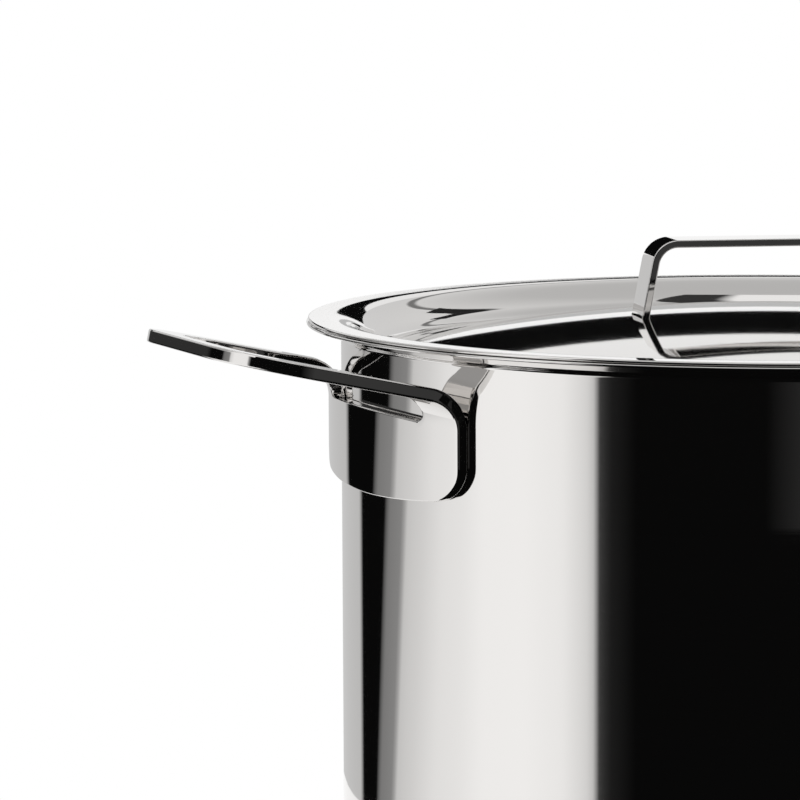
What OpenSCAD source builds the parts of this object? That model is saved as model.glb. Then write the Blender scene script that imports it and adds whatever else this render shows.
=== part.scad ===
// Tall stock pot in polished steel with a domed lid, a bent strip handle on
// the lid and two pressed side handles. The origin is the centre of the base,
// Z is up and the side handles lie along X.

/* [Pot] */
// Inside diameter of the pot
pot_inner_d = 240; // [180:1:320]
// Height from the table to the top of the rim
pot_h = 205; // [130:1:300]
// Thickness of the pot's sheet
wall = 0.8; // [0.6:0.1:1.4]
// Outside radius where the floor turns up into the wall
base_round = 9.6; // [6:0.2:16]

/* [Rim] */
// How far the rim stands out past the wall
rim_reach = 9.5; // [7:0.5:12]
// Radius of the bend under the rim
rim_bend = 3; // [2:0.5:4]
// Angle at which the rim rises as it goes outward
rim_rise = 18; // [10:1:26]

/* [Base] */
// Thickness of the aluminium heat disc
disc_t = 5.5; // [3:0.5:8]
// Thickness of the steel cap under the heat disc
cap_t = 0.6; // [0.4:0.1:1.2]
// Radius of the cap's lower edge
cap_round = 3; // [1.6:0.2:3.4]
// How far the cap stops inside the pot's flat floor
cap_step = 1.8; // [0.6:0.2:6]

/* [Lid] */
// Thickness of the lid's sheet
lid_t = 1; // [0.6:0.1:1.4]
// How far the lid's brim stops short of the edge of the rim
brim_short = 0.4; // [0:0.1:2]
// How far inside the pot's wall the brim turns down
brim_inset = 2; // [1.2:0.2:5]
// Radius of the bend from the brim into the lid's wall
shoulder_round = 3; // [2:0.5:4]
// Steepness of the lid's wall
lid_wall_angle = 70; // [55:1:80]
// Depth of the gutter below the top of the brim
gutter_depth = 9.5; // [8:0.5:14]
// Radius of the gutter
gutter_round = 5; // [3:0.5:7]
// Radius of the sphere that the dome is part of
dome_r = 560; // [400:10:1200]
// Play between the lid and the rim that it rests on
lid_seat = 0.1; // [0.05:0.05:0.3]

/* [Lid handle] */
// Width of the strip
strip_w = 14.5; // [10:0.5:20]
// Thickness of the strip
strip_t = 2.1; // [1.5:0.1:3.5]
// Distance over the two feet where they meet the lid
strip_span = 78; // [60:1:110]
// Height of the strip's top above the middle of the lid
strip_h = 20.2; // [16:0.2:34]
// Outside radius of the strip's two bends
strip_bend = 7.5; // [5:0.5:10]
// Lean of the legs from upright
strip_lean = 10.6; // [2:0.2:16]
// Turn of the lid and its handle about the pot's axis
lid_turn = -14.8; // [-90:0.2:90]

/* [Side handles] */
// Thickness of the pressed sheet
side_t = 3.5; // [2.5:0.1:4.5]
// Width over both arms
side_w = 86.5; // [74:0.5:100]
// Width of each arm
arm_w = 12.4; // [9:0.2:16]
// Reach of the grip past the pot's wall
side_reach = 55; // [45:1:75]
// Depth of the strip that the hand holds
grip_w = 8.4; // [7:0.2:13]
// Height from the plate's lower edge up to the bend
plate_h = 20; // [14:0.5:30]
// Distance from the top of the rim down to the bend
bend_drop = 20.5; // [18:0.5:40]
// Radius of the bend on the side that faces the pot
side_bend = 11.5; // [9:0.5:13]
// Angle at which the grip rises as it goes outward
side_rise = 12.3; // [4:0.1:16]
// Radius of the plate's lower corners
plate_corner = 9; // [4:0.5:12]
// Radius of the slot's lower corners
slot_corner = 4; // [2:0.5:5]
// Radius of the grip's outer corners
grip_corner = 24; // [14:1:30]
// Radius of the slot's corners beside the grip
slot_end_corner = 15; // [8:1:20]
// Gap left between the plate and the wall that it is welded to
weld_gap = 0.05; // [0:0.01:0.1]

/* [Hidden] */
$fn = 120;

steel = "lightgray";
bright = "silver";
dull = "darkgray";

// Pot
pot_r = pot_inner_d / 2 + wall;
floor_z = cap_t + disc_t;
rim_r = pot_r + rim_reach;
// The rim ends in a half round of the sheet's own thickness, whose middle is
// rim_len along the straight part from the end of the bend.
bend_x = pot_r + rim_bend;
edge_x = rim_r - wall / 2;
edge_z = pot_h - wall / 2;
rim_len = (edge_x - bend_x + (rim_bend + wall / 2) * sin(rim_rise)) / cos(rim_rise);
bend_low = edge_z - rim_len * sin(rim_rise) - (rim_bend + wall / 2) * cos(rim_rise);

// Base
cap_r = pot_r - base_round - cap_step;

// Lid, with heights taken from the top of the brim
lid_z = pot_h + lid_seat + lid_t;
lid_r = rim_r - brim_short;
shoulder_r = pot_inner_d / 2 - brim_inset;
gutter_z = gutter_round - gutter_depth;
lid_wall_len = (gutter_depth - (shoulder_round + gutter_round) * (1 - cos(lid_wall_angle))) / sin(lid_wall_angle);
gutter_x = shoulder_r - lid_wall_len * cos(lid_wall_angle) - (shoulder_round + gutter_round) * sin(lid_wall_angle);
dome_slope = asin(gutter_x / (dome_r + gutter_round));
dome_z = gutter_z - (dome_r + gutter_round) * cos(dome_slope);
dome_top = dome_z + dome_r;

// Lid handle, in the same heights
strip_top = dome_top + strip_h;
foot_z = dome_z + sqrt(pow(dome_r, 2) - pow(strip_span / 2, 2));
strip_cz = strip_top - strip_bend;
strip_drop = strip_cz + strip_bend * sin(strip_lean) - foot_z;
strip_cx = strip_span / 2 - strip_drop * tan(strip_lean) - strip_bend * cos(strip_lean);
strip_leg = strip_drop / cos(strip_lean) + 2 * strip_t;

// Side handles
plate_r = pot_r + weld_gap;
bend_z = pot_h - bend_drop;
plate_low = bend_z - plate_h;
slot_w = side_w - 2 * arm_w;
slot_low = bend_z + 0.3;
// Each arm is flat across, and bends about its own line, where the upright
// plane of the arm meets the plane of the grip. It lies in the plate so that
// its middle stands as far inside the curve as its edges stand outside.
arm_at = asin((side_w - arm_w) / 2 / (plate_r + side_t / 2));
arm_sink = pow(arm_w / 2, 2) / plate_r / 4;
arm_rise = asin(sin(side_rise) * cos(arm_at));
arm_turn = 90 - arm_rise;
line_r = plate_r + side_bend - arm_sink;
line_x = line_r * cos(arm_at);
line_y = line_r * sin(arm_at);
line_at = atan(tan(arm_at) / cos(side_rise));
arm_flat = arm_w;
// The bends lie this far inside the faces of the stretches that they join.
arm_inset = 0.01;
room_in = slot_w / 2 - slot_corner;
room_out = side_w / 2 - arm_inset;
grip_in = arm_flat / 3;
grip_out = (plate_r + side_reach - line_x + side_bend * sin(side_rise)) / cos(side_rise);
slot_out = grip_out - grip_w;

// Points on an arc about c, in steps equal steps from angle a0 to angle a1
function arc(c, r, a0, a1, steps) = [
    for (i = [0:steps])
        c + r * [cos(a0 + (a1 - a0) * i / steps), sin(a0 + (a1 - a0) * i / steps)]
];

// The same points in the opposite order
function back(pts) = [for (i = [len(pts) - 1:-1:0]) pts[i]];

// Tongue along x from x0 to x1, with its two far corners rounded
module tongue(x0, x1, w, r) {
    polygon(concat(
        [[x0, w / 2], [x0, -w / 2]],
        arc([x1 - r, r - w / 2], r, -90, 0, 12),
        arc([x1 - r, w / 2 - r], r, 0, 90, 12)
    ));
}

// Half section of a dish that is r wide and h high, with a rounded lower edge
module dish_section(r, h, edge) {
    square([r - edge, h]);
    translate([0, edge])
        square([r, h - edge]);
    translate([r - edge, edge])
        circle(r = edge);
}

// Line along the pot's sheet at the depth d below its outer surface: floor,
// corner, wall and rim
function pot_line(d) = concat(
    [[0, floor_z + d]],
    arc([pot_r - base_round, floor_z + base_round], base_round - d, 270, 360, 12),
    arc([bend_x, bend_low], rim_bend + d, 180, 90 + rim_rise, 8)
);

module pot_section() {
    polygon(concat(
        pot_line(0),
        arc([edge_x, edge_z], wall / 2, rim_rise - 90, rim_rise + 90, 8),
        back(pot_line(wall))
    ));
}

module pot_body() {
    color(steel)
        rotate_extrude()
            pot_section();
}

module heat_disc() {
    color(dull)
        translate([0, 0, cap_t])
            rotate_extrude()
                intersection() {
                    dish_section(cap_r - cap_t, disc_t + cap_round, cap_round - cap_t);
                    square([cap_r, disc_t]);
                }
}

module base_cap() {
    color(bright)
        rotate_extrude()
            intersection() {
                difference() {
                    dish_section(cap_r, 2 * floor_z, cap_round);
                    translate([0, cap_t])
                        dish_section(cap_r - cap_t, 2 * floor_z, cap_round - cap_t);
                }
                square([cap_r, floor_z]);
            }
}

// Line along the lid's sheet at the depth d below its upper surface, with the
// top of the brim at zero: shoulder, wall, gutter and dome
function lid_line(d) = concat(
    arc([shoulder_r, -shoulder_round], shoulder_round - d, 90, 90 + lid_wall_angle, 8),
    arc([gutter_x, gutter_z], gutter_round + d, 270 + lid_wall_angle, 270 - dome_slope, 10),
    arc([0, dome_z], dome_r - d, 90 - dome_slope, 90, 24)
);

module lid_section() {
    polygon(concat(
        back(lid_line(0)),
        arc([lid_r - lid_t / 2, -lid_t / 2], lid_t / 2, 90, -90, 8),
        lid_line(lid_t)
    ));
}

module lid() {
    color(steel)
        translate([0, 0, lid_z])
            rotate_extrude()
                lid_section();
}

// All that lies below the dome's upper surface, as far out as the feet
module below_dome() {
    rotate_extrude()
        intersection() {
            translate([0, dome_z])
                circle(r = dome_r, $fn = 720);
            translate([0, -3 * gutter_depth])
                square([strip_span, 4 * gutter_depth]);
        }
}

// End of a leg, at the depth d below the strip's outer surface
function strip_foot(d) = [
    strip_cx + (strip_bend - d) * cos(strip_lean) + strip_leg * sin(strip_lean),
    strip_cz + (strip_bend - d) * sin(strip_lean) - strip_leg * cos(strip_lean)
];

// Line along the strip at the depth d, from its right foot to its left one
function strip_line(d) = concat(
    [strip_foot(d)],
    arc([strip_cx, strip_cz], strip_bend - d, strip_lean, 90, 10),
    arc([-strip_cx, strip_cz], strip_bend - d, 90, 180 - strip_lean, 10),
    [[-strip_foot(d)[0], strip_foot(d)[1]]]
);

module lid_handle() {
    color(bright)
        translate([0, 0, lid_z])
            rotate(lid_turn)
                difference() {
                    rotate([90, 0, 0])
                        linear_extrude(height = strip_w, center = true)
                            polygon(concat(strip_line(0), back(strip_line(strip_t))));
                    below_dome();
                }
}

// Upright slot between the arms, cut from the wall outward
module slot_cut() {
    translate([plate_r - side_t - side_bend, 0, slot_low])
        rotate([90, 0, 90])
            linear_extrude(height = 2 * side_bend + 2 * arm_flat)
                rotate(-90)
                    tongue(-3 * side_bend, 0, slot_w + 2 * arm_inset, slot_corner);
}

// Curved plate that lies on the pot's wall
module plate() {
    intersection() {
        translate([0, 0, plate_low - plate_h])
            cylinder(r = plate_r + side_t, h = 3 * plate_h);
        translate([0, 0, slot_low + 0.2])
            rotate([0, 90, 0])
                linear_extrude(height = 2 * plate_r)
                    tongue(0, slot_low + 0.2 - plate_low, side_w, plate_corner);
    }
}

// Places its children in the plane of the grip, at the height of the bends
module in_grip_plane() {
    translate([line_x, 0, bend_z])
        rotate([0, -side_rise, 0])
            children();
}

// Line along an arm at the depth d below its upper surface, from the plane of
// the grip round the bend into the plate
function arm_line(d) = concat(
    [[arm_flat, side_bend - d]],
    arc([0, 0], side_bend - d, 90, 90 + arm_turn, 12),
    [[
        (side_bend - d) * cos(90 + arm_turn) - side_t * cos(arm_turn),
        (side_bend - d) * sin(90 + arm_turn) - side_t * sin(arm_turn)
    ]]
);

// Bend of one arm, with a short flat stretch at each end
module arm_bend(side) {
    in_grip_plane()
        translate([0, side * line_y, 0])
            rotate([90, 0, side * line_at])
                linear_extrude(height = 4 * arm_w, center = true)
                    polygon(concat(arm_line(arm_inset), back(arm_line(side_t - arm_inset))));
}

// Room that one arm takes up, with the slot's corner beside it
module arm_room(side) {
    in_grip_plane()
        translate([-2 * side_bend, side * (room_in + room_out) / 2, 0])
            cube([8 * side_bend, room_out - room_in, 6 * side_bend], center = true);
}

// Flat loop that the hand holds, from the arms' bends outward
module grip() {
    in_grip_plane()
        translate([0, 0, side_bend - side_t])
            linear_extrude(height = side_t)
                difference() {
                    tongue(grip_in, grip_out, side_w, grip_corner);
                    tongue(0, slot_out, slot_w, slot_end_corner);
                }
}

module side_handle() {
    color(bright) {
        difference() {
            union() {
                plate();
                for (side = [-1, 1])
                    intersection() {
                        arm_bend(side);
                        arm_room(side);
                    }
            }
            slot_cut();
            translate([0, 0, plate_low - plate_h])
                cylinder(r = plate_r, h = 3 * plate_h);
        }
        grip();
    }
}

module right_handle() {
    side_handle();
}

module left_handle() {
    rotate(180)
        side_handle();
}

pot_body();
heat_disc();
base_cap();
left_handle();
right_handle();
lid();
lid_handle();
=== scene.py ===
# %% [markdown]
# # A polished steel stock pot
# Every shape stands on the imported CAD part, which is loaded first as a fixed
# frame in metres. The CAD solids have the right size, but they arrive as loose
# triangles, and a mirror shows every facet. So each visible piece is made again
# here as a smooth mesh of the same form, and the CAD solid behind it is hidden.

# %% Load the frame and list its parts
import math

import bmesh
import bpy
from mathutils import Matrix, Vector


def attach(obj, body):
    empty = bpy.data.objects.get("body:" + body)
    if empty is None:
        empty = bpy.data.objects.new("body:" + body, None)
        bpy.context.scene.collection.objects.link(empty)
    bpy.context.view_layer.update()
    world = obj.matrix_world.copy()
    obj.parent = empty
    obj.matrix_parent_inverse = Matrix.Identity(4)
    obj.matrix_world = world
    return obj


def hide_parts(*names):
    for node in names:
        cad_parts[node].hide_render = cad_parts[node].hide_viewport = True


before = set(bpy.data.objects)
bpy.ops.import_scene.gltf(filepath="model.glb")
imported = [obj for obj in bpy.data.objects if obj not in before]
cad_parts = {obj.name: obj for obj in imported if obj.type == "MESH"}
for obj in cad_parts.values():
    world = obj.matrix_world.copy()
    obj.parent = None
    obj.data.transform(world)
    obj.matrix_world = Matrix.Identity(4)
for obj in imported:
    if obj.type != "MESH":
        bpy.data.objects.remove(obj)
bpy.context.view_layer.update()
MM = 0.001
print("CAD nodes:", sorted(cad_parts))

# %% [markdown]
# ## The camera
# The camera stands a metre away and a little above the rim, and looks at the
# left side of the pot through a long lens. It could be aimed with a Track To
# constraint, but a camera held by hand is never quite level. So its matrix is
# made of its right, up and backward directions, which follow from the three
# angles that it is turned by, in radians.

# %% Place the camera
LENS_MM, SENSOR_MM, NEAREST = 166.5, 36, 0.05
VIEW_TURN = math.radians(28.8)
YAW, PITCH, ROLL = -0.10123, 0.11744, 0.00439
EYE_AWAY, EYE_ABOVE_LID, LID_LEVEL = 1032.266, 97.36, 206.0
EYE = Vector((0, -EYE_AWAY, EYE_ABOVE_LID + LID_LEVEL)) * MM

look = Vector((
    math.sin(YAW) * math.cos(PITCH),
    math.cos(YAW) * math.cos(PITCH),
    -math.sin(PITCH),
))
level = Vector((math.cos(YAW), -math.sin(YAW), 0))
down = look.cross(level)
right = math.cos(ROLL) * level + math.sin(ROLL) * down
down = math.cos(ROLL) * down - math.sin(ROLL) * level
to_row = Matrix.Rotation(-VIEW_TURN, 3, "Z")
axes = Matrix([to_row @ right, to_row @ -down, to_row @ -look]).transposed()

camera_data = bpy.data.cameras.new("camera")
camera_data.lens = LENS_MM
camera_data.sensor_width = SENSOR_MM
camera_data.clip_start = NEAREST
camera = bpy.data.objects.new("camera", camera_data)
camera.matrix_world = Matrix.Translation(to_row @ EYE) @ axes.to_4x4()
bpy.context.collection.objects.link(camera)
bpy.context.scene.camera = camera
print("camera at", [round(v, 4) for v in camera.matrix_world.translation])

# %% [markdown]
# ## Shader maths in Python
# Materials are built from nodes. They could be wired one link at a time, but a
# formula is then hard to read. So one small class wraps a node's output socket:
# a sum or a product of sockets is written as a Python expression, and each
# operation adds its Math node.

# %% A small class for sockets
class Val:
    """A node's output socket that can be used in sums and products."""

    def __init__(self, nodes, socket):
        self.nodes = nodes
        self.socket = socket

    def output(self, name):
        """Another output of the same node."""
        return Val(self.nodes, self.socket.node.outputs[name])

    def math(self, operation, *others):
        """A Math node with this socket first, and the others after it."""
        return self.nodes.math(operation, self, *others)

    def __add__(self, other):
        return self.math("ADD", other)

    def __radd__(self, other):
        return self.math("ADD", other)

    def __sub__(self, other):
        return self.math("SUBTRACT", other)

    def __rsub__(self, other):
        return self.nodes.math("SUBTRACT", other, self)

    def __mul__(self, other):
        return self.math("MULTIPLY", other)

    def __rmul__(self, other):
        return self.math("MULTIPLY", other)


# %% [markdown]
# All nodes come from one method. It takes the node's type, its settings, and the
# values or links of its inputs, which are keywords: Base_Color is the input
# called Base Color, and in6 is input number 6, for nodes that use one name for
# several inputs. Settings go first, because they decide which inputs a node has.

# %% One method that adds any node
class Nodes:
    """The node tree of a material or of the world."""

    def __init__(self, owner):
        owner.use_nodes = True
        self.owner = owner
        self.tree = owner.node_tree
        self.tree.nodes.clear()

    def add(self, kind, settings=None, output=0, **inputs):
        node = self.tree.nodes.new("ShaderNode" + kind)
        for key, value in (settings or {}).items():
            if key == "stops":
                set_stops(node.color_ramp, value)
            else:
                setattr(node, key, value)
        for key, value in inputs.items():
            by_number = key.startswith("in") and key[2:].isdigit()
            socket = node.inputs[int(key[2:]) if by_number else key.replace("_", " ")]
            if isinstance(value, Val):
                self.tree.links.new(value.socket, socket)
            else:
                socket.default_value = value
        return Val(self, node.outputs[output]) if len(node.outputs) else None

    def math(self, operation, *items):
        inputs = {f"in{i}": item for i, item in enumerate(items)}
        return self.add("Math", {"operation": operation}, **inputs)

    def finish(self, surface):
        world = isinstance(self.owner, bpy.types.World)
        self.add("OutputWorld" if world else "OutputMaterial", Surface=surface)
        return self.owner


def set_stops(ramp, stops):
    """Give a colour ramp its stops, each a place from 0 to 1 and a colour."""
    while len(ramp.elements) < len(stops):
        ramp.elements.new(0.5)
    for element, (place, colour) in zip(ramp.elements, stops):
        element.position = place
        element.color = (*colour, 1)


def greys(stops, full=1.0):
    """Stops of a grey ramp, from pairs of a place, out of full, and a strength."""
    return [(place / full, (value, value, value)) for place, value in stops]


# %% [markdown]
# ## Bending a wire into a profile
# A round piece of sheet metal is a profile turned about an axis. It could be a
# curve with a Screw modifier, but the handles of a curve only come close to a
# round bend. So the profile is a wire of edges. A vertex is extruded for a
# straight stretch and spun about a centre for a bend, just as the sheet runs,
# and every radius is exact. All lengths are in millimetres here, and the
# finished mesh is scaled to metres.

# %% The wire
class Wire:
    """A chain of edges in the XZ plane, drawn from its last vertex."""

    def __init__(self, mesh, x, z):
        self.mesh = mesh
        self.tip = bmesh.ops.create_vert(mesh, co=(x, 0, z))["vert"][0]

    def line(self, x, z, steps=1):
        start = self.tip.co.copy()
        for i in range(steps):
            made = bmesh.ops.extrude_vert_indiv(self.mesh, verts=[self.tip])
            self.tip = made["verts"][0]
            self.tip.co = start.lerp(Vector((x, 0, z)), (i + 1) / steps)

    def bend(self, x, z, degrees, steps):
        """Spin the tip about (x, z), anticlockwise as seen with x right and z up."""
        made = bmesh.ops.spin(
            self.mesh, geom=[self.tip], cent=(x, 0, z), axis=(0, -1, 0),
            angle=math.radians(degrees), steps=steps, use_duplicate=False,
        )
        self.tip = [g for g in made["geom_last"] if isinstance(g, bmesh.types.BMVert)][0]


def beside(x, z, distance, slope):
    """The point at a distance from (x, z), square to a line that rises by slope."""
    return x - distance * math.sin(slope), z + distance * math.cos(slope)


# %% [markdown]
# A lathe turns the profile into a closed skin. The spin's last step is merged
# with its first, and the points on the axis become one, so nothing stays open.

# %% Turn the wire round the axis
MERGE, TINY = 0.0005, 0.0001


def turn_on_axis(mesh, steps=288):
    """Spin the whole wire round Z into a closed skin."""
    bmesh.ops.spin(
        mesh, geom=mesh.edges[:] + mesh.verts[:], cent=(0, 0, 0), axis=(0, 0, 1),
        angle=math.tau, steps=steps, use_merge=True, use_duplicate=False,
    )
    bmesh.ops.remove_doubles(mesh, verts=mesh.verts, dist=MERGE)
    bmesh.ops.dissolve_degenerate(mesh, dist=TINY, edges=mesh.edges)


# %% [markdown]
# Smooth shading blends the directions of neighbouring faces, which makes a flat
# sheet look puffed up beside a narrow bend. The faces could be given more loops,
# but a Weighted Normal modifier is simpler: large faces count for more, so the
# flat stays flat and the bend takes up the turn.

# %% Finish a piece
def to_object(name, mesh):
    """Turn a bmesh in metres into an object of the scene."""
    data = bpy.data.meshes.new(name)
    mesh.to_mesh(data)
    mesh.free()
    thing = bpy.data.objects.new(name, data)
    bpy.context.collection.objects.link(thing)
    return thing


def piece(name, mesh, slot, *nodes, favour_large=100):
    """Turn a bmesh in millimetres into a finished object that rides on the part."""
    bmesh.ops.recalc_face_normals(mesh, faces=mesh.faces)
    bmesh.ops.scale(mesh, vec=(MM, MM, MM), verts=mesh.verts)
    for face in mesh.faces:
        face.smooth = True
    open_edges = sum(1 for e in mesh.edges if len(e.link_faces) != 2)
    print(name, len(mesh.faces), "faces,", open_edges, "open edges,",
          round(mesh.calc_volume() / MM ** 3), "mm3")
    thing = to_object(name, mesh)
    modifier = thing.modifiers.new("weighted", "WEIGHTED_NORMAL")
    modifier.mode = "FACE_AREA"
    modifier.weight = favour_large
    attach(thing, "root")
    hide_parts(*nodes)
    return thing


# %% [markdown]
# ## The pot
# The pot is one drawn sheet, 0.8 mm thick: a flat floor, a rounded corner, a
# straight wall, and a rim that bends outward and rises a little so that it pours
# well. It could be a cylinder with a Solidify modifier, but the sheet's edge
# would be square. The wire goes along the outside, round the edge of the rim,
# and back along the inside, so the edge is round as well.

# %% Draw the pot's sheet
POT_R, WALL = 120.8, 0.8
FLOOR_Z, CORNER = 6.1, 9.6
POT_H, RIM_R, RIM_BEND, RIM_RISE = 205.0, 130.3, 1.3, 18.0
CORNER_STEPS, RIM_STEPS, EDGE_STEPS, POT_STEPS = 18, 16, 10, 360
rise = math.radians(RIM_RISE)
bend_x = POT_R + RIM_BEND
edge_x, edge_z = RIM_R - WALL / 2, POT_H - WALL / 2
rim_len = (edge_x - bend_x + (RIM_BEND + WALL / 2) * math.sin(rise)) / math.cos(rise)
bend_z = edge_z - rim_len * math.sin(rise) - (RIM_BEND + WALL / 2) * math.cos(rise)

mesh = bmesh.new()
wire = Wire(mesh, 0, FLOOR_Z)
wire.line(POT_R - CORNER, FLOOR_Z, 6)
wire.bend(POT_R - CORNER, FLOOR_Z + CORNER, 90, CORNER_STEPS)
wire.line(POT_R, bend_z, 8)
wire.bend(bend_x, bend_z, RIM_RISE - 90, RIM_STEPS)
wire.line(*beside(edge_x, edge_z, -WALL / 2, rise), 3)
wire.bend(edge_x, edge_z, 180, EDGE_STEPS)
wire.line(*beside(bend_x, bend_z, RIM_BEND + WALL, rise), 3)
wire.bend(bend_x, bend_z, 90 - RIM_RISE, RIM_STEPS)
wire.line(POT_R - WALL, FLOOR_Z + CORNER, 8)
wire.bend(POT_R - CORNER, FLOOR_Z + CORNER, -90, CORNER_STEPS)
wire.line(0, FLOOR_Z + WALL, 6)
turn_on_axis(mesh, POT_STEPS)
pot = piece("pot", mesh, "polished_steel", "pot_body")

# %% [markdown]
# ## The base
# Under the floor lies an aluminium disc that spreads the heat, in a thin steel
# cap. Only the cap shows, so the disc keeps its CAD solid. The cap could be the
# pot's floor made thicker, but the seam between the two is what a cook sees from
# below, so it is turned as a sheet of its own.

# %% Draw the cap of the base
CAP_R, CAP_T, CAP_ROUND, CAP_STEPS = 109.4, 0.6, 3.0, 10
mesh = bmesh.new()
wire = Wire(mesh, 0, 0)
wire.line(CAP_R - CAP_ROUND, 0, 4)
wire.bend(CAP_R - CAP_ROUND, CAP_ROUND, 90, CAP_STEPS)
wire.line(CAP_R, FLOOR_Z)
wire.line(CAP_R - CAP_T, FLOOR_Z)
wire.line(CAP_R - CAP_T, CAP_ROUND)
wire.bend(CAP_R - CAP_ROUND, CAP_ROUND, -90, CAP_STEPS)
wire.line(0, CAP_T, 4)
turn_on_axis(mesh)
cap = piece("base_cap_skin", mesh, "satin_steel", "base_cap")

# %% [markdown]
# ## The lid
# The lid is one sheet too. Its brim lies over the rim and falls inward by about
# a degree, a broad shoulder rolls down inside the pot and runs straight into a
# round gutter, and the middle is a shallow dome. Shoulder and gutter are two
# circles that touch. Their centres could be found with algebra, but a few rounds
# of putting one right after the other are easier to follow.

# %% Find the centres of the lid's bends
LID_T, LID_R, LID_Z = 1.0, 129.9, 206.1
SHOULDER, GUTTER, GUTTER_DEPTH, DOME_R = 11.0, 5.0, 9.5, 560.0
GUTTER_X, BRIM_FALL, ROUNDS = 108.94, 1.1, 20
gutter_z = LID_Z + GUTTER - GUTTER_DEPTH
dome_slope = math.asin(GUTTER_X / (DOME_R + GUTTER))
dome_z = gutter_z - (DOME_R + GUTTER) * math.cos(dome_slope)
dome_top = dome_z + DOME_R
fall = math.radians(BRIM_FALL)
edge_x, edge_z = LID_R - LID_T / 2, LID_Z - LID_T / 2
brim_x, brim_z = beside(edge_x, edge_z, LID_T / 2, fall)
shoulder_x = edge_x
for _ in range(ROUNDS):
    brim_len = brim_x - shoulder_x + SHOULDER * math.sin(fall)
    shoulder_z = brim_z - SHOULDER * math.cos(fall) - brim_len * math.tan(fall)
    reach = math.sqrt((SHOULDER + GUTTER) ** 2 - (gutter_z - shoulder_z) ** 2)
    shoulder_x = GUTTER_X + reach
steep_deg = math.degrees(math.asin(reach / (SHOULDER + GUTTER)))
slope_deg = math.degrees(dome_slope)
print("top of the dome", round(dome_top, 2), "steepest", round(steep_deg, 1))

# %% [markdown]
# Where a bend runs straight into the next one, the wire is spun about one centre
# and then about the other. It starts at the top of the dome, goes out to the
# edge of the brim, turns round it and comes back one thickness below.

# %% Draw the lid
DOME_STEPS, GUTTER_STEPS, SHOULDER_STEPS = 40, 22, 28
mesh = bmesh.new()
wire = Wire(mesh, 0, dome_top)
wire.bend(0, dome_z, -slope_deg, DOME_STEPS)
wire.bend(GUTTER_X, gutter_z, steep_deg + slope_deg, GUTTER_STEPS)
wire.bend(shoulder_x, shoulder_z, BRIM_FALL - steep_deg, SHOULDER_STEPS)
wire.line(brim_x, brim_z, 3)
wire.bend(edge_x, edge_z, -180, EDGE_STEPS)
wire.line(*beside(shoulder_x, shoulder_z, SHOULDER - LID_T, fall), 3)
wire.bend(shoulder_x, shoulder_z, steep_deg - BRIM_FALL, SHOULDER_STEPS)
wire.bend(GUTTER_X, gutter_z, -steep_deg - slope_deg, GUTTER_STEPS)
wire.bend(0, dome_z, slope_deg, DOME_STEPS)
turn_on_axis(mesh)
lid = piece("lid_sheet", mesh, "polished_steel", "lid")

# %% [markdown]
# ## The lid handle
# The handle is a flat strip, bent twice and welded to the dome. It could be a
# plane bent by modifiers, but both legs lean, and they have to meet the dome. So
# its side view is drawn as a wire between points that are worked out first: the
# two bends, and how far each leg runs down before it sinks into the dome.

# %% Work out the strip's bends
STRIP_T, STRIP_SPAN, STRIP_H = 2.1, 78.0, 20.2
STRIP_BEND, STRIP_LEAN, LEG_SINK = 7.5, 10.6, 0.3
lean = math.radians(STRIP_LEAN)
strip_top = dome_top + STRIP_H
foot_z = dome_z + math.sqrt(DOME_R ** 2 - (STRIP_SPAN / 2) ** 2)
strip_cz = strip_top - STRIP_BEND
strip_drop = strip_cz + STRIP_BEND * math.sin(lean) - foot_z
strip_cx = STRIP_SPAN / 2 - strip_drop * math.tan(lean) - STRIP_BEND * math.cos(lean)
strip_leg = strip_drop / math.cos(lean) + LEG_SINK


def strip_point(depth, along, side=1):
    """A point on the leg, along it from its bend, at a depth under the outside."""
    r = STRIP_BEND - depth
    return (
        side * (strip_cx + r * math.cos(lean) + along * math.sin(lean)),
        strip_cz + r * math.sin(lean) - along * math.cos(lean),
    )


print("strip: top at", round(strip_top, 2), "and legs", round(strip_leg, 2), "long")

# %% [markdown]
# The wire runs over the outside of the strip from one foot to the other, and
# back along the inside. Both sides of a bend share one centre, as in real sheet.

# %% Draw the strip from the side
LEG_STEPS, BEND_STEPS, TOP_STEPS = 4, 20, 6
turn = 90 - STRIP_LEAN
mesh = bmesh.new()
wire = Wire(mesh, *strip_point(0, strip_leg))
wire.line(*strip_point(0, 0), LEG_STEPS)
wire.bend(strip_cx, strip_cz, turn, BEND_STEPS)
wire.line(-strip_cx, strip_top, TOP_STEPS)
wire.bend(-strip_cx, strip_cz, turn, BEND_STEPS)
wire.line(*strip_point(0, strip_leg, -1), LEG_STEPS)
wire.line(*strip_point(STRIP_T, strip_leg, -1))
wire.line(*strip_point(STRIP_T, 0, -1), LEG_STEPS)
wire.bend(-strip_cx, strip_cz, -turn, BEND_STEPS)
wire.line(strip_cx, strip_top - STRIP_T, TOP_STEPS)
wire.bend(strip_cx, strip_cz, -turn, BEND_STEPS)
wire.line(*strip_point(STRIP_T, strip_leg), LEG_STEPS)
wire.line(*strip_point(0, strip_leg))
bmesh.ops.remove_doubles(mesh, verts=mesh.verts, dist=0.001)
print("side view", len(mesh.edges), "edges")

# %% [markdown]
# The side view is pulled to the strip's width and closed at both sides. A cut
# strip has its edges broken by the polishing wheel, and only a rounded edge
# catches the light, so the long edges get a narrow bevel of four segments.

# %% Pull the strip to its width and round its edges
STRIP_W, STRIP_ROUND, STRIP_SHARP, LID_TURN = 14.5, 0.35, 1.0, -14.8
LENGTHWISE = 0.01


def sharp_edges(mesh, angle):
    """The edges where two faces meet at more than an angle, in radians."""
    return [e for e in mesh.edges if len(e.link_faces) == 2 and e.calc_face_angle() > angle]


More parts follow.
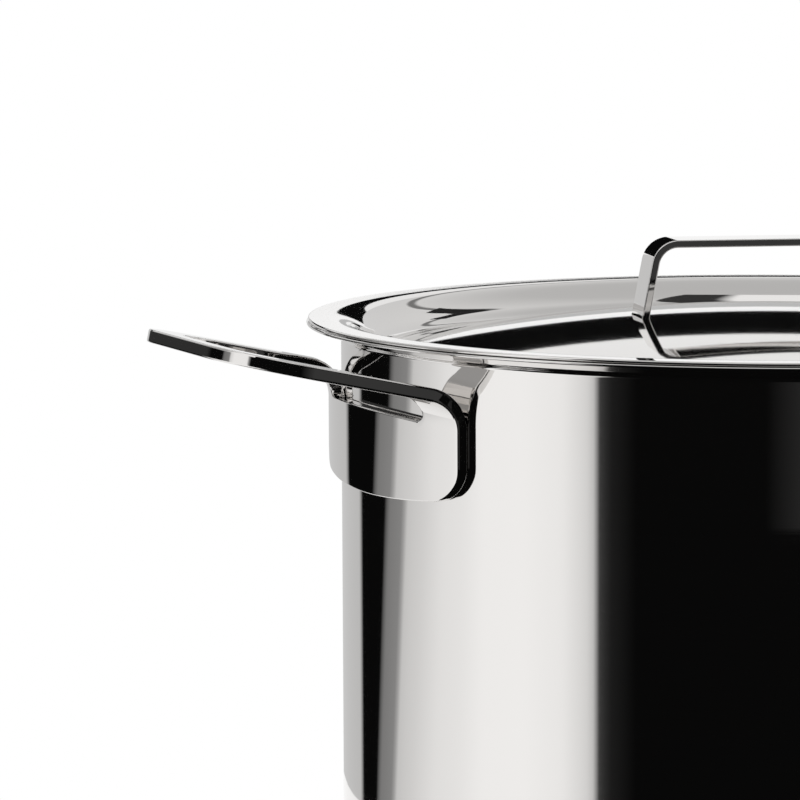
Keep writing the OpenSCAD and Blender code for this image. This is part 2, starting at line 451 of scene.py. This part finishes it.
def round_edges(mesh, edges, width):
    """Round edges with a bevel of four segments."""
    bmesh.ops.bevel(mesh, geom=edges, offset=width, offset_type="OFFSET", segments=4,
                    profile=0.5, affect="EDGES", material=-1, clamp_overlap=True)


bmesh.ops.translate(mesh, vec=(0, STRIP_W / 2, 0), verts=mesh.verts)
near_edges = mesh.edges[:]
pulled = bmesh.ops.extrude_edge_only(mesh, edges=near_edges)
far_verts = [g for g in pulled["geom"] if isinstance(g, bmesh.types.BMVert)]
far_edges = [g for g in pulled["geom"]
             if isinstance(g, bmesh.types.BMEdge) and all(v in far_verts for v in g.verts)]
bmesh.ops.translate(mesh, vec=(0, -STRIP_W, 0), verts=far_verts)
bmesh.ops.edgeloop_fill(mesh, edges=near_edges)
bmesh.ops.edgeloop_fill(mesh, edges=far_edges)
bmesh.ops.recalc_face_normals(mesh, faces=mesh.faces)
long_edges = [e for e in sharp_edges(mesh, STRIP_SHARP)
              if abs(e.verts[0].co.y - e.verts[1].co.y) < LENGTHWISE]
round_edges(mesh, long_edges, STRIP_ROUND)
bmesh.ops.rotate(mesh, cent=(0, 0, 0), verts=mesh.verts,
                 matrix=Matrix.Rotation(math.radians(LID_TURN), 3, "Z"))
strip = piece("lid_strip", mesh, "handle_steel", "lid_handle")

# %% [markdown]
# ## The side handles
# Each side handle is stamped flat from 3.5 mm sheet, with a slot for the
# fingers, and then pressed: the plate follows the curve of the wall, and the
# arms bend outward into the plane of the grip. It could be joined from a plate,
# two arms and a loop, but a mirror shows every joint. So it is made in the same
# order as the real one, and one function says where the press takes each point
# of the flat blank.

# %% Name the measures of a side handle
SIDE_T, SIDE_W, ARM_W, SIDE_REACH, GRIP_W = 3.5, 86.5, 12.4, 55.0, 8.4
PLATE_H, BEND_DROP, SIDE_BEND, SIDE_RISE = 20.0, 20.5, 11.5, 12.3
PLATE_GAP, EASE = 0.05, 22.0
PLATE_R = POT_R + PLATE_GAP
lift = math.radians(SIDE_RISE)
side_z = POT_H - BEND_DROP
arm_at = math.asin((SIDE_W - ARM_W) / 2 / (PLATE_R + SIDE_T / 2))
arm_sink = (ARM_W / 2) ** 2 / PLATE_R / 4
line_r = PLATE_R + SIDE_BEND - arm_sink
line_x = line_r * math.cos(arm_at)
grip_out = (PLATE_R + SIDE_REACH - line_x + SIDE_BEND * math.sin(lift)) / math.cos(lift)
bend_len = SIDE_BEND * (math.pi / 2 - lift)
print("bend", round(bend_len, 2), "long, then", round(grip_out, 2), "to the grip's end")

# %% [markdown]
# The press bends every line across the blank about its own centre, which lies
# one bend's radius outside the wall. The arms leave the wall at different
# depths, so after the bend they ease into one flat plane. The plate's lower edge
# hangs down a little in its middle, which a straight cut would not do.

# %% The press
BELLY, EDGE_DROP, BELLY_FADE = 2.6, 1.3, 0.4


def smooth(t):
    """An even ramp from 0 to 1 that starts and ends gently."""
    t = min(max(t, 0.0), 1.0)
    return t * t * (3 - 2 * t)


def press(q, y):
    """Point on the side that faces the pot, at q along the blank and y across."""
    wall_x = math.sqrt(PLATE_R ** 2 - y * y)
    centre_x = wall_x + SIDE_BEND
    # The plane of the grip passes SIDE_BEND above the bend's centre line.
    ahead = centre_x - line_x
    plane_z = side_z + SIDE_BEND / math.cos(lift) + ahead * math.tan(lift)
    centre_z = plane_z - SIDE_BEND / math.cos(lift)
    if q <= 0:
        fade = smooth(-q / PLATE_H * (1 + BELLY_FADE) - BELLY_FADE)
        q += (BELLY * (y / SIDE_W * 2) ** 2 - EDGE_DROP) * fade
        low = smooth(-q / PLATE_H)
        return Vector((wall_x, y, q + centre_z + (side_z - centre_z) * low))
    if q <= bend_len:
        a = q / SIDE_BEND
        return Vector((centre_x - SIDE_BEND * math.cos(a), y, centre_z + SIDE_BEND * math.sin(a)))
    run = q - bend_len
    off_plane = centre_z - side_z - ahead * math.tan(lift)
    start_u = ahead / math.cos(lift) + off_plane * math.sin(lift)
    u = run + start_u * (1 - smooth(run / EASE))
    foot = Vector((line_x - SIDE_BEND * math.sin(lift), y, side_z + SIDE_BEND * math.cos(lift)))
    return foot + Vector((u * math.cos(lift), 0, u * math.sin(lift)))


print("foot of the bend at", round(press(0, 0).z, 2),
      "grip end", [round(v, 2) for v in press(bend_len + grip_out, 0)])

# %% [markdown]
# The sheet's other side lies a thickness away, square to the surface. That
# direction is found from two short steps, one along the blank and one across.

# %% Press a point that lies inside the sheet
SHORT_STEP = 0.02


def pressed(q, y, depth):
    """Where the press takes a point at a depth, measured square to the sheet."""
    along = press(q + SHORT_STEP, y) - press(q - SHORT_STEP, y)
    across = press(q, y + SHORT_STEP) - press(q, y - SHORT_STEP)
    normal = across.cross(along).normalized()
    return press(q, y) + normal * depth


print("outer side of the plate at", round(pressed(-PLATE_H / 2, 0, SIDE_T).x, 2))

# %% [markdown]
# The flat blank could be a plane with a hole cut by a Boolean modifier, which
# leaves long thin faces that a mirror shows. Instead it is a band between two
# outlines, the blank's edge and the slot's. The blank's own coordinates are q,
# from the plate's lower edge outward, and y, across. Half an outline is drawn
# and mirrored, and both have the same number of points.

# %% Draw an outline of the blank
ACROSS, CORNER_ROWS, RUN_ROWS, BEND_ROWS, EASE_ROWS, GRIP_ROWS, END_ROWS = 18, 12, 10, 12, 5, 18, 10
EASED = 12.0
SAME_POINT = 0.001


def outline(low, high, half, low_corner, high_corner, run_to=None):
    """A closed outline as mesh data, with a straight run up to a q where one is given."""
    mesh = bmesh.new()
    wire = Wire(mesh, low, 0)
    wire.line(low, half - low_corner, ACROSS)
    rows = CORNER_ROWS if run_to else CORNER_ROWS + RUN_ROWS
    wire.bend(low + low_corner, half - low_corner, -90, rows)
    if run_to:
        wire.line(run_to, half, RUN_ROWS)
    wire.line(bend_len, half, BEND_ROWS)
    wire.line(bend_len + EASED, half, EASE_ROWS)
    wire.line(high - high_corner, half, EASE_ROWS)
    wire.bend(high - high_corner, half - high_corner, -90, GRIP_ROWS)
    wire.line(high, 0, END_ROWS)
    bmesh.ops.mirror(mesh, geom=mesh.verts[:] + mesh.edges[:], matrix=Matrix.Identity(4),
                     merge_dist=SAME_POINT, axis="Z")
    bmesh.ops.remove_doubles(mesh, verts=mesh.verts, dist=SAME_POINT)
    data = bpy.data.meshes.new("outline")
    mesh.to_mesh(data)
    mesh.free()
    return data


# %% [markdown]
# A bridge between the two outlines gives clean rows of faces across the band,
# because their points match. Subdividing then makes the grid fine enough for the
# press.

# %% Stamp the blank
PLATE_CORNER, SLOT_CORNER, GRIP_CORNER, SLOT_END = 9.0, 4.0, 24.0, 15.0
SLOT_LOW = 0.3
slot_w = SIDE_W - 2 * ARM_W
outer_end = bend_len + grip_out

mesh = bmesh.new()
loops = []
for flat in (
    outline(-PLATE_H, outer_end, SIDE_W / 2, PLATE_CORNER, GRIP_CORNER, SLOT_LOW + SLOT_CORNER),
    outline(SLOT_LOW, outer_end - GRIP_W, slot_w / 2, SLOT_CORNER, SLOT_END),
):
    before = set(mesh.edges)
    mesh.from_mesh(flat)
    bpy.data.meshes.remove(flat)
    loops.append([e for e in mesh.edges if e not in before])
bmesh.ops.bridge_loops(mesh, edges=loops[0] + loops[1])
drawn = set(loops[0] + loops[1])
ties = [e for e in mesh.edges if e not in drawn]
bmesh.ops.subdivide_edges(mesh, edges=ties, cuts=4, use_grid_fill=True)
bmesh.ops.subdivide_edges(mesh, edges=mesh.edges[:], cuts=1, use_grid_fill=True)
print("blank", len(mesh.faces), "faces")

# %% [markdown]
# The blank gets its thickness while it is still flat. Rows through the thickness
# keep the cut edge smooth in the bend, and its two corners are rounded as the
# polisher leaves them. A Solidify and a Bevel modifier could do both, but the
# press has to come after them, because it bends the finished sheet.

# %% Give the blank its thickness and round its edges
SIDE_ROUND, SIDE_SHARP = 0.5, 1.2
sheet = bmesh.ops.extrude_face_region(mesh, geom=mesh.faces[:])
lower = [g for g in sheet["geom"] if isinstance(g, bmesh.types.BMVert)]
bmesh.ops.translate(mesh, vec=(0, SIDE_T, 0), verts=lower)
through = [e for e in mesh.edges if abs(e.verts[0].co.y - e.verts[1].co.y) > SIDE_T / 2]
bmesh.ops.subdivide_edges(mesh, edges=through, cuts=3, use_grid_fill=True)
bmesh.ops.recalc_face_normals(mesh, faces=mesh.faces)
round_edges(mesh, sharp_edges(mesh, SIDE_SHARP), SIDE_ROUND)
print("sheet", len(mesh.faces), "faces")

# %% [markdown]
# Both handles come from one press, as in the factory. The second one is turned
# half round the pot in its mesh, so its object stays at the origin.

# %% Press the sheet into both handles
for vert in mesh.verts:
    vert.co = pressed(vert.co.x, vert.co.z, vert.co.y)
handle_data = bpy.data.meshes.new("handle_master")
mesh.to_mesh(handle_data)
mesh.free()

grips = []
for name, node, half_turn in (("right_grip", "right_handle", 0), ("left_grip", "left_handle", 180)):
    mesh = bmesh.new()
    mesh.from_mesh(handle_data)
    bmesh.ops.rotate(mesh, cent=(0, 0, 0), verts=mesh.verts,
                     matrix=Matrix.Rotation(math.radians(half_turn), 3, "Z"))
    grips.append(piece(name, mesh, "handle_steel", node, favour_large=50))
bpy.data.meshes.remove(handle_data)

# %% [markdown]
# ## Polished steel
# Polished stainless steel is a metal with almost no roughness of its own. What
# makes it steel and not a perfect mirror is a slightly warm grey colour, the
# faint lines that polishing leaves, and a little unevenness in how sharply it
# reflects. An image of brushed metal could do this, but procedural noise has no
# seams and stays sharp close up. The lines run round the axis, so the noise is
# read at the height and at the distance from the axis.

# %% Write a recipe for steel
LINE_DETAIL, CLOUD_SCALE, CLOUD_DETAIL, CLOUD_SHARE = 3.0, 14.0, 2.0, 0.5
CLOUD_TINT, LINE_STRENGTH, LINE_HEIGHT = 0.97, 0.015, 0.0002


def steel(name, colour, rough, lines, streak):
    """Steel of a roughness, with the lines per metre and how much they roughen it."""
    nodes = Nodes(bpy.data.materials.new(name))
    place = nodes.add("TexCoord", output="Object")
    split = nodes.add("SeparateXYZ", in0=place)
    x, y, z = (split.output(axis) for axis in "XYZ")
    radius = (x * x + y * y).math("SQRT")
    rings = nodes.add("CombineXYZ", X=radius * lines, Y=z * lines, Z=0.0)
    fine = nodes.add("TexNoise", Vector=rings, Scale=1.0, Detail=LINE_DETAIL)
    cloud = nodes.add("TexNoise", Vector=place, Scale=CLOUD_SCALE, Detail=CLOUD_DETAIL)
    roughness = rough + streak * fine + CLOUD_SHARE * rough * cloud
    darker = [c * CLOUD_TINT for c in colour]
    tint = nodes.add("Mix", {"data_type": "RGBA"}, output=2, in0=cloud * CLOUD_SHARE,
                     in6=(*colour, 1), in7=(*darker, 1))
    bump = nodes.add("Bump", Strength=LINE_STRENGTH, Distance=LINE_HEIGHT, Height=fine)
    surface = nodes.add("BsdfPrincipled", Base_Color=tint, Metallic=1.0,
                        Roughness=roughness, Normal=bump)
    return nodes.finish(surface)


# %% [markdown]
# The sheet is polished to a mirror, the handles a little brighter still, and the
# base is left satin, because it stands on the hob. The heat disc is plain
# aluminium. It keeps its CAD mesh, so its metal goes into the slot of its
# object, and the mesh itself isn't touched.

# %% Make the steels and give them out
STEEL, SATIN, ALUMINIUM = (0.80, 0.785, 0.77), (0.7, 0.69, 0.68), (0.8, 0.8, 0.81)
polished = steel("polished_steel", STEEL, rough=0.02, lines=900.0, streak=0.035)
handle = steel("handle_steel", STEEL, rough=0.02, lines=300.0, streak=0.01)
satin = steel("satin_steel", SATIN, rough=0.25, lines=500.0, streak=0.15)
plain = steel("heat_disc_metal", ALUMINIUM, rough=0.3, lines=400.0, streak=0.1)

finishes = ((polished, (pot, lid)), (satin, (cap,)), (handle, (strip, *grips)))
for material, things in finishes:
    for thing in things:
        thing.data.materials.append(material)
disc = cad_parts["heat_disc"]
for held in disc.material_slots:
    held.link = "OBJECT"
    held.material = plain
print(disc.name, "slots", len(disc.material_slots), "hidden", disc.hide_render)

# %% [markdown]
# ## The studio
# A mirror shows the room and not itself, so the room is what has to be built. It
# could be an environment picture, but cards are how a photographer does it:
# curved sheets of white paper, grey card and black cloth stand around the pot.
# Each card glows by itself, with a strength that changes along its length. Some
# bands lean, like cloth that hangs at an angle.

# %% A glow that changes along a card
FULL_TURN = 360
LEANS = [(122, 0), (130, 1), (150, 1), (175, 0)]
LEAN_PER_METRE, LEAN_FROM = 55, 0.08


def glow(name, stops):
    """Light whose strength changes with the azimuth, given as (degrees, strength)."""
    nodes = Nodes(bpy.data.materials.new(name))
    split = nodes.add("SeparateXYZ", in0=nodes.add("TexCoord", output="Object"))
    x, y, z = (split.output(axis) for axis in "XYZ")
    turn = (y * -1.0).math("ARCTAN2", x * -1.0) * (0.5 / math.pi) + 0.5
    leans = nodes.add("ValToRGB", {"stops": greys(LEANS, FULL_TURN)}, Fac=turn)
    turn = turn - (z - LEAN_FROM) * leans * (LEAN_PER_METRE / FULL_TURN)
    ramp = nodes.add("ValToRGB", {"stops": greys(stops, FULL_TURN)}, Fac=turn)
    return nodes.finish(nodes.add("Emission", Color=ramp, Strength=1.0))


# %% [markdown]
# A card is a line that is swept round the pot. An upright line makes a curved
# wall, and a level one makes a sector of the floor. Only reflections see the
# cards, so they neither stand in the picture nor shade the floor.

# %% A card round the pot
CARD_R, SEGMENT = 0.38, 3
UNSEEN_BY = ("camera", "diffuse", "transmission", "volume_scatter", "shadow")


def sweep(name, start, end, foot, head, stops):
    """Sweep the line from foot to head, each (radius, height), between azimuths."""
    mesh = bmesh.new()
    a = math.radians(start)
    ends = [bmesh.ops.create_vert(mesh, co=(r * math.cos(a), r * math.sin(a), z))["vert"][0]
            for r, z in (foot, head)]
    mesh.edges.new(ends)
    bmesh.ops.spin(mesh, geom=mesh.verts[:] + mesh.edges[:], cent=(0, 0, 0), axis=(0, 0, 1),
                   angle=math.radians(end - start), use_duplicate=False,
                   steps=max(4, int(abs(end - start) / SEGMENT)))
    thing = to_object(name, mesh)
    thing.data.materials.append(glow(name, stops))
    for way in UNSEEN_BY:
        setattr(thing, "visible_" + way, False)
    print(name, "from", start, "to", end, "degrees")


def card(name, start, end, low, high, stops, radius=CARD_R):
    """An upright card between two azimuths and two heights."""
    sweep(name, start, end, (radius, low), (radius, high), stops)


# %% [markdown]
# The wall of the pot mirrors what stands at its own height. Its bright bands are
# white paper, the dark ones black cloth, and where a band has a soft side, two
# stops lie further apart.

# %% Stand the cards that the wall shows
LOW, MID, TOP, ROOF, SKY = 0.185, 0.26, 0.45, 0.6, 0.9
BLACK = 0.003
IN_FRONT = 0.01
card("room_low", 92, 330, 0.0, LOW, [
    (92, 0.62), (119.2, 0.58), (120.0, BLACK), (134.5, BLACK), (135.3, 0.22), (143.0, 0.285),
    (144.2, 0.66), (147.5, 0.72), (151.7, 0.775), (159.6, 0.925), (166.8, 0.97),
    (173.5, 1.06), (185, 1.07), (195, 1.01), (200.7, 0.82), (202.4, 0.7), (203.5, 0.06),
    (206, 0.015), (212, BLACK), (295, BLACK), (330, 0.9)])
card("fill_front", 240, 320, 0.125, 0.215, [
    (240, BLACK), (256, 0.042), (272, 0.042), (284, 0.011), (300, 0.011), (320, 0.011),
], CARD_R - IN_FRONT)
card("ring_light", 90, 98.5, 0.172, 0.2, [(90, 0.9), (98.5, 0.9)], CARD_R - IN_FRONT)
card("room_mid", 92, 330, LOW, MID, [
    (92, 0.62), (119.2, 0.62), (120.0, 0.032), (140.0, 0.032), (150.0, BLACK),
    (171.0, BLACK), (172.0, 0.17), (179.0, 0.25), (180, 0.8), (183, 1.0), (194, 1.0),
    (196, BLACK), (295, BLACK), (330, 0.9)])
card("room_high", 200, 330, MID, TOP, [(200, BLACK), (295, BLACK), (330, 0.9)])

# %% [markdown]
# The rim, the lid's slope and the tops of the handles look upward, so their
# cards hang higher. The slope's dark stroke comes from a narrow card of its own.

# %% Hang the cards that the rim and the lid's slope show
card("soft_low", 119.6, 200, MID, ROOF, [
    (119.6, 0.5), (130, 0.4), (173, 0.42), (182, 1.0), (200, 1.0)])
card("soft_top", 119.6, 200, ROOF, SKY, [(119.6, 1.0), (200, 1.0)])
card("soft_front", 200, 290, 0.65, 1.1, [(200, 1.0), (258, 1.0), (266, 0.04), (290, 0.04)])
card("slope_stroke", -5, 31, 0.395, 0.455, [(0, 0.02), (360, 0.02)])

# %% [markdown]
# The dome is nearly flat, so it shows the far wall of the studio at low angles.
# The cards there are given by the elevation at which the lid's middle sees them.

# %% Stand the cards at the back
BACK_R, DOME_LEVEL, DOME_BACK = 2.0, 0.206, 0.06


def back_height(degrees):
    """Height on the back wall that the lid's middle sees at an elevation."""
    return DOME_LEVEL + (BACK_R + DOME_BACK) * math.tan(math.radians(degrees))


card("flag_back_low", 20, 112, 0.0, back_height(3.4),
     [(20, 0.92), (34, 0.5), (112, 0.5)], BACK_R)
card("flag_back", 57, 112, back_height(6.25), back_height(15.4),
     [(57, BLACK), (112, BLACK)], BACK_R)
card("paper_right", 0, 57, back_height(5.0), back_height(28.0),
     [(0, 0.8), (57, 0.7)], BACK_R)

# %% [markdown]
# In front of the pot a black sheet lies on the table. The underside of the
# handle and the lower edge of its plate mirror it.

# %% Lay a black sheet on the table
FLAG_INNER, FLAG_Z = 0.02, 0.0004
sweep("flag_floor", 168, 330, (FLAG_INNER, FLAG_Z), (CARD_R, FLAG_Z), [(0, BLACK), (360, BLACK)])

# %% [markdown]
# ## The floor
# The floor is plain and pale. Close to the pot it is ordinary matt paper, which
# takes the shadow. Paper alone would need more light to look white, and that
# light would fall on the pot as well. So further away it turns into plain white
# for the camera and for reflections, and the background is even.

# %% Lay the floor
FLOOR_SIZE = 40.0
PAPER, PAPER_TO, WHITE_FROM = 0.9, 0.15, 0.34
mesh = bmesh.new()
bmesh.ops.create_grid(mesh, x_segments=1, y_segments=1, size=FLOOR_SIZE)
floor = to_object("floor", mesh)
nodes = Nodes(bpy.data.materials.new("floor_paper"))
camera_ray = nodes.add("LightPath", output="Is Camera Ray")
seen = camera_ray.math("MAXIMUM", camera_ray.output("Is Glossy Ray"))
place = nodes.add("TexCoord", output="Object")
far = nodes.add("VectorMath", {"operation": "LENGTH"}, output="Value", in0=place)
away = nodes.add("MapRange", {"interpolation_type": "SMOOTHSTEP"},
                 Value=far, in1=PAPER_TO, in2=WHITE_FROM)
paper = nodes.add("BsdfDiffuse", Color=(PAPER, PAPER, PAPER, 1))
white = nodes.add("Emission", Color=(1, 1, 1, 1), Strength=1.0)
mixed = nodes.add("MixShader", in0=away * seen, in1=paper, in2=white)
floor.data.materials.append(nodes.finish(mixed))
print("floor", FLOOR_SIZE, "m each way")

# %% [markdown]
# ## The light of the room
# Soft light comes from all sides, as in a white tent. Lamps could give it, but a
# mirror would show each of them. So the world itself glows evenly, and only
# reflections see its shades, which change with how steeply they look up.

# %% Light the room
ROOM_LIGHT = 0.95
ROOM_SHADES = [
    (0.0, 1.0), (0.30, 0.92), (0.48, 0.92), (0.495, 0.2), (0.515, 0.2), (0.53, 0.75),
    (0.8, 0.58), (1.0, 0.56)]
nodes = Nodes(bpy.data.worlds.new("room"))
way = nodes.add("TexCoord", output="Generated")
steepness = nodes.add("SeparateXYZ", output="Z", in0=way)
shades = nodes.add("ValToRGB", {"stops": greys(ROOM_SHADES)}, Fac=steepness)
mixed = nodes.add("Mix", {"data_type": "RGBA"}, output=2,
                  in0=nodes.add("LightPath", output="Is Glossy Ray"),
                  in6=(ROOM_LIGHT, ROOM_LIGHT, ROOM_LIGHT, 1), in7=shades)
bpy.context.scene.world = nodes.finish(nodes.add("Background", Color=mixed))
bpy.context.scene.view_settings.view_transform = "Standard"
print("world", bpy.context.scene.world.name, "with", len(ROOM_SHADES), "shades")
